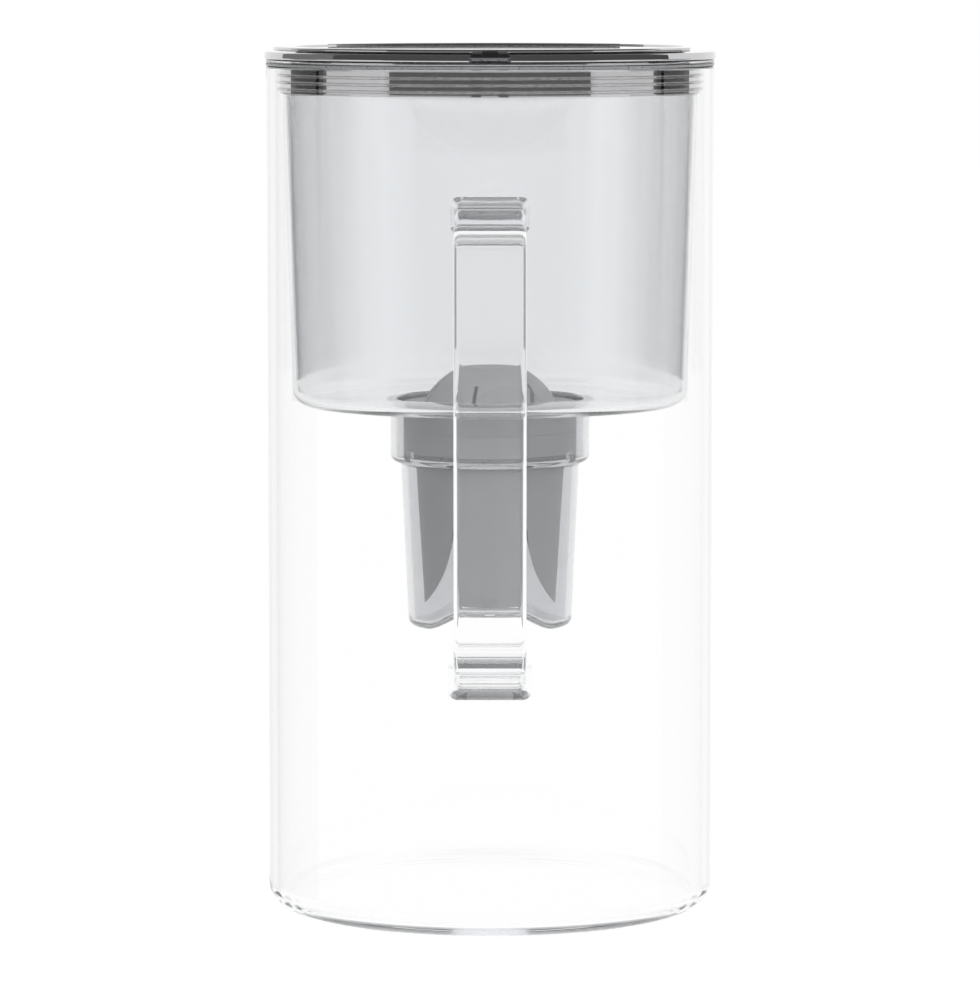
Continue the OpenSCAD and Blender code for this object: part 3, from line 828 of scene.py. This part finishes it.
# Nodes whose own shape stays
carbon = grains("carbon_granules", 900, (0.012, 0.012, 0.013), (0.04, 0.04, 0.042), 0.7, 0.4)
resin = grains("resin_beads", 1300, (0.36, 0.2, 0.06), (0.55, 0.36, 0.14), 0.3, 0.3)
fibre = felt()
coats = {"carbon_bed": carbon, "resin_bed": resin}
for node in ("inlet_screen", "separator_pad", "outlet_screen"):
    coats[node] = fibre
for node in ("hinge_bracket", "hinge_pin", "cover_hinge"):
    coats[node] = hinge_steel
for node, coat in coats.items():
    nodes[node].data.materials.clear()
    nodes[node].data.materials.append(coat)


# Studio: white floor and surroundings, with cards that only mirror images and glass edges show.
# More mirror images and glass faces than any ray meets
DEEPEST = 500
CARD_STEPS = 48
WHITE = (1, 1, 1, 1)
FLOOR_SIZE = 12
FLOOR_DROP = 0.0003
FLOOR_GLOW = 0.62
FLOOR_TINT = (0.8, 0.8, 0.8, 1)


def stage_paint(name):
    """A material for the studio, without a shader yet, and its output's surface."""
    paint = bpy.data.materials.new(name)
    paint.use_nodes = True
    paint.node_tree.nodes.remove(paint.node_tree.nodes["Principled BSDF"])
    return paint, paint.node_tree.nodes["Material Output"].inputs["Surface"]


def sums(made, operation, first, second):
    """A math node of two values, each a number or another node's output."""
    node = made.node_tree.nodes.new("ShaderNodeMath")
    node.operation = operation
    for spot, value in zip(node.inputs, (first, second)):
        if isinstance(value, (int, float)):
            spot.default_value = value
        else:
            wire(made, value, spot)
    return node.outputs[0]


def ray(made, name):
    return made.node_tree.nodes.new("ShaderNodeLightPath").outputs[name]


def within(made, name, limits):
    """1 where a ray's count lies between two limits, both included, and 0 elsewhere."""
    count = ray(made, name)
    return sums(made, "MULTIPLY", sums(made, "GREATER_THAN", count, limits[0] - 0.5),
                sums(made, "LESS_THAN", count, limits[1] + 0.5))


def shown_where(made, surface, shader, factor):
    """Shows a shader by a factor and is clear elsewhere."""
    mix = made.node_tree.nodes.new("ShaderNodeMixShader")
    clear = made.node_tree.nodes.new("ShaderNodeBsdfTransparent")
    wire(made, factor, mix.inputs["Fac"])
    wire(made, clear.outputs["BSDF"], mix.inputs[1])
    wire(made, shader, mix.inputs[2])
    wire(made, mix.outputs["Shader"], surface)


def set_aside(piece):
    """A studio piece that neither the camera nor the light on things meets."""
    piece.visible_camera = piece.visible_diffuse = piece.visible_shadow = False


def card(name, profile, start, sweep, level, mirrors=(1, DEEPEST), faces=(0, DEEPEST)):
    """A curved card of an even level, which only mirror images and glass show.

    Mirrors and faces are the least and the most that a ray has been mirrored, and the least and
    the most glass faces that it has passed, when it meets the card.
    """
    piece = start_point(name)
    side = towards(start)
    pull_along([r * side + Vector((0, 0, z)) for r, z in profile])
    bpy.ops.mesh.select_all(action="SELECT")
    spin(CARD_STEPS, sweep)
    bpy.ops.object.mode_set(mode="OBJECT")
    paint, surface = stage_paint(name)
    lit = add(paint, "ShaderNodeEmission", Color=WHITE, Strength=level)
    shown = sums(paint, "MULTIPLY", within(paint, "Glossy Depth", mirrors),
                 within(paint, "Transmission Depth", faces))
    shown_where(paint, surface, lit.outputs["Emission"], shown)
    piece.data.materials.append(paint)
    set_aside(piece)


def upright(name, side, near, far, low, high, level, radius, **counts):
    """An upright card between two angles from the front, on the left (-1) or the right (1)."""
    start = FRONT + near if side > 0 else FRONT - far
    card(name, [(radius, low), (radius, high)], start, far - near, level, **counts)


def mirrored_or_through(made):
    return sums(made, "MAXIMUM", ray(made, "Is Glossy Ray"), ray(made, "Is Transmission Ray"))


def seen(made):
    """1 for camera, mirror and glass rays, 0 for the light that falls on things."""
    return sums(made, "MAXIMUM", ray(made, "Is Camera Ray"), mirrored_or_through(made))


def make_floor():
    bpy.ops.object.select_all(action="DESELECT")
    bpy.ops.mesh.primitive_plane_add(size=FLOOR_SIZE, location=(0, 0, -FLOOR_DROP))
    floor = bpy.context.object
    floor.name = "floor"
    paint, surface = stage_paint("floor_white")
    flat = add(paint, "ShaderNodeBsdfDiffuse", Color=FLOOR_TINT)
    lift = add(paint, "ShaderNodeEmission", Color=WHITE)
    glow = sums(paint, "MULTIPLY", FLOOR_GLOW, ray(paint, "Is Camera Ray"))
    wire(paint, glow, lift.inputs["Strength"])
    both = add(paint, "ShaderNodeAddShader")
    wire(paint, flat.outputs["BSDF"], both.inputs[0])
    wire(paint, lift.outputs["Emission"], both.inputs[1])
    plain = add(paint, "ShaderNodeEmission", Color=WHITE, Strength=1)
    mix = add(paint, "ShaderNodeMixShader")
    wire(paint, mirrored_or_through(paint), mix.inputs["Fac"])
    wire(paint, both.outputs["Shader"], mix.inputs[1])
    wire(paint, plain.outputs["Emission"], mix.inputs[2])
    wire(paint, mix.outputs["Shader"], surface)
    floor.data.materials.append(paint)


# Distances of the cards from the jar's axis
FAR_R = 2.0
NEAR_R = 0.4
CLOSE_R = 0.09
FLAG_R = 0.5
# Heights of the cards that the glass wall, the hopper, the neck band and the handle show
WALL_LOW = 0.0
BOWL_LOW = 0.132
BAND_LOW = 0.2465
BAND_HIGH = 0.264
FLAG_LOW = 0.14
CARD_TOP = 0.62
FAR_EDGE = (FAR_R, CARD_TOP)
HIGH_EDGE = [(1.7, 1.3), (1.6, 1.5)]
# Angles from the front: half of the front cards, the band's dark part, the hopper's shades
FRONT_HALF = 50.6
BAND_DARK, BAND_INSIDE, BAND_END = 90, 114, 124
BOWL_MID, BOWL_DARK, BOWL_INSIDE, BOWL_END = 74, 92, 114, 140
# Angles from the front: the jar's wall and its two edge lines, the handle's edge lines
WALL_START, EDGE_IN, EDGE_OUT, EDGE_END = 66, 100, 110, 136
FLAG_START, FLAG_END = 118, 156
# Rays mirrored once by the jar's own wall, rays off what stands in the jar, rays that meet metal
# first, and rays that glass only bends, through handle, jar and hopper
BY_WALL = {"mirrors": (1, 1), "faces": (1, 3)}
BY_INSIDE = {"faces": (4, DEEPEST)}
BY_METAL = {"faces": (0, 0)}
BENT = {"mirrors": (0, 0), "faces": (9, DEEPEST)}
card("front_card", [(FAR_R, 0.19), FAR_EDGE], FRONT - 55, 110, 0.14, **BY_METAL)
card("ceiling", [(FAR_R, 0.5), FAR_EDGE] + HIGH_EDGE, FRONT - 86, 188, 0.1, **BY_METAL)
card("left_ceiling", [(FAR_R, 0.33), FAR_EDGE] + HIGH_EDGE, FRONT - 130, 44, 0.25, **BY_METAL)
card("zenith", [HIGH_EDGE[1], (1.0, 1.8), (0.01, 2.0)], FRONT, FULL, 0.1, **BY_METAL)
card("back_strip", [(NEAR_R, 0.255), (NEAR_R, 0.2762)], 82.8, 16.2, 0.05, **BY_METAL)
band_span = (BAND_LOW, BAND_HIGH)
bowl_span = (BOWL_LOW, BAND_LOW)
wall_span = (WALL_LOW, BAND_HIGH)
upright("front_band_card", 1, -FRONT_HALF, FRONT_HALF, *band_span, 0.14, NEAR_R)
upright("front_bowl_card", 1, -FRONT_HALF, FRONT_HALF, *bowl_span, 0.65, NEAR_R)
for side, name, band, bowl, wall, inner, outer in (
        (-1, "left", 0.02, (0.85, 0.5, 0.12), 0.62, 0.85, 0.68),
        (1, "right", 0.01, (1.0, 0.6, 0.22), 0.8, 0.92, 0.74)):
    for part, near, far, span, level, radius, counts in (
            ("band_card", BAND_DARK, BAND_INSIDE, band_span, band, NEAR_R, {}),
            ("inside_band_card", BAND_INSIDE, BAND_END, band_span, band, NEAR_R, BY_INSIDE),
            ("light_band_card", FRONT_HALF, BAND_DARK, band_span, 0.8, NEAR_R, {}),
            ("light_bowl_card", FRONT_HALF, BOWL_MID, bowl_span, bowl[0], NEAR_R, {}),
            ("mid_bowl_card", BOWL_MID, BOWL_DARK, bowl_span, bowl[1], NEAR_R, {}),
            ("dark_bowl_card", BOWL_DARK, BOWL_INSIDE, bowl_span, bowl[2], NEAR_R, {}),
            ("inside_bowl_card", BOWL_INSIDE, BOWL_END, bowl_span, bowl[2], NEAR_R, BY_INSIDE),
            ("wall_card", WALL_START, EDGE_IN, wall_span, wall, CLOSE_R, BY_WALL),
            ("inner_edge_card", EDGE_IN, EDGE_OUT, wall_span, inner, CLOSE_R, BY_WALL),
            ("outer_edge_card", EDGE_OUT, EDGE_END, wall_span, outer, CLOSE_R, BY_WALL),
            ("flag", FLAG_START, FLAG_END, (FLAG_LOW, CARD_TOP), 0.3, FLAG_R, BENT)):
        upright(f"{name}_{part}", side, near, far, *span, level, radius, **counts)
make_floor()

# Even light on things, and white for the camera, mirrors and glass
sky = bpy.data.worlds.new("studio")
scene.world = sky
sky.use_nodes = True
air = sky.node_tree.nodes["Background"]
air.inputs["Color"].default_value = WHITE
daylight = add(sky, "ShaderNodeMapRange", To_Min=0.7, To_Max=1.0)
wire(sky, seen(sky), daylight.inputs["Value"])
wire(sky, daylight.outputs["Result"], air.inputs["Strength"])


def aim(thing, height):
    """Turns a lamp or the camera to a height on the jar's axis."""
    way = Vector((0, 0, height)) - thing.location
    thing.rotation_euler = way.to_track_quat("-Z", "Y").to_euler()


bpy.ops.object.light_add(type="AREA", location=(0.8, -1.6, 1.7))
key = bpy.context.object
key.name = "key"
key.data.energy = 19
key.data.size = 1.4
aim(key, 0.15)
key.visible_glossy = False
key.visible_transmission = False

bpy.ops.object.camera_add(location=(0, -1.68, 0.296))
camera = bpy.context.object
camera.data.sensor_fit = "HORIZONTAL"
camera.data.sensor_width = 36
camera.data.lens = 197
aim(camera, 0.1305)
scene.camera = camera

scene.view_settings.view_transform = "Standard"
# Light runs far along the inside of the glass
scene.cycles.max_bounces = 160
scene.cycles.transmission_bounces = 120
scene.cycles.glossy_bounces = 120
scene.cycles.transparent_max_bounces = 24
